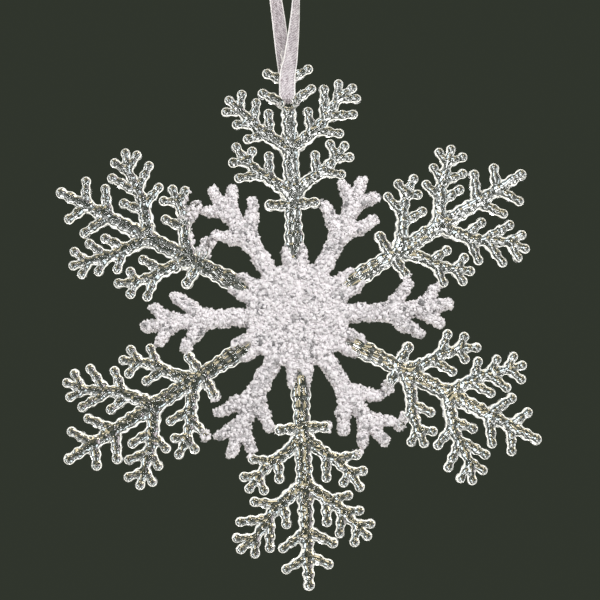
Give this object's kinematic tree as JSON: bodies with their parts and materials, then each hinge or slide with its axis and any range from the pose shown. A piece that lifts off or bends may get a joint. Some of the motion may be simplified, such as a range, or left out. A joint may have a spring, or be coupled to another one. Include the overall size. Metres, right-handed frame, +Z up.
{
  "type": "hanging snowflake ornament",
  "caption": "Clear moulded snowflake ornament with twiggy arms, a frosted centre and shorter frosted arms, hung on a sheer ribbon loop.",
  "frame": {"origin": "inside the top of the ribbon loop, just under the knot, where a branch or hook carries it", "axes": "+Z up, +X to the right as seen from the front, the front faces -Y and the moulding's flat back faces +Y"},
  "size_m": [0.1736, 0.011, 0.2795],
  "materials": {
    "clear_plastic": "clear polished moulding with lens-like beads",
    "crushed_ice_frosting": "white and clear sparkling granules, glued on",
    "organza_ribbon": "sheer silvery white weave with woven edges"
  },
  "bodies": {
    "knot": {"ribbon_knot": "organza_ribbon", "ribbon_tail_left": "organza_ribbon", "ribbon_tail_right": "organza_ribbon"},
    "ribbon": {"ribbon_loop": "organza_ribbon"},
    "flake": {"hub": "clear_plastic", "long_arm_top": "clear_plastic", "long_arm_upper_right": "clear_plastic", "long_arm_lower_right": "clear_plastic", "long_arm_bottom": "clear_plastic", "long_arm_lower_left": "clear_plastic", "long_arm_upper_left": "clear_plastic", "short_arm_upper_right": "clear_plastic", "short_arm_right": "clear_plastic", "short_arm_lower_right": "clear_plastic", "short_arm_lower_left": "clear_plastic", "short_arm_left": "clear_plastic", "short_arm_upper_left": "clear_plastic", "frosting_back": "crushed_ice_frosting", "frosting_front": "crushed_ice_frosting"}
  },
  "joints": [
    {"name": "ribbon_twist", "type": "hinge", "parent": "knot", "child": "ribbon", "pos_m": [0, 0, 0], "axis": [0, 0, 1], "range_deg": [-180, 180]},
    {"name": "flake_tilt", "type": "hinge", "parent": "ribbon", "child": "flake", "pos_m": [0, 0, -0.082], "axis": [0, 1, 0], "range_deg": [-45, 45]}
  ]
}
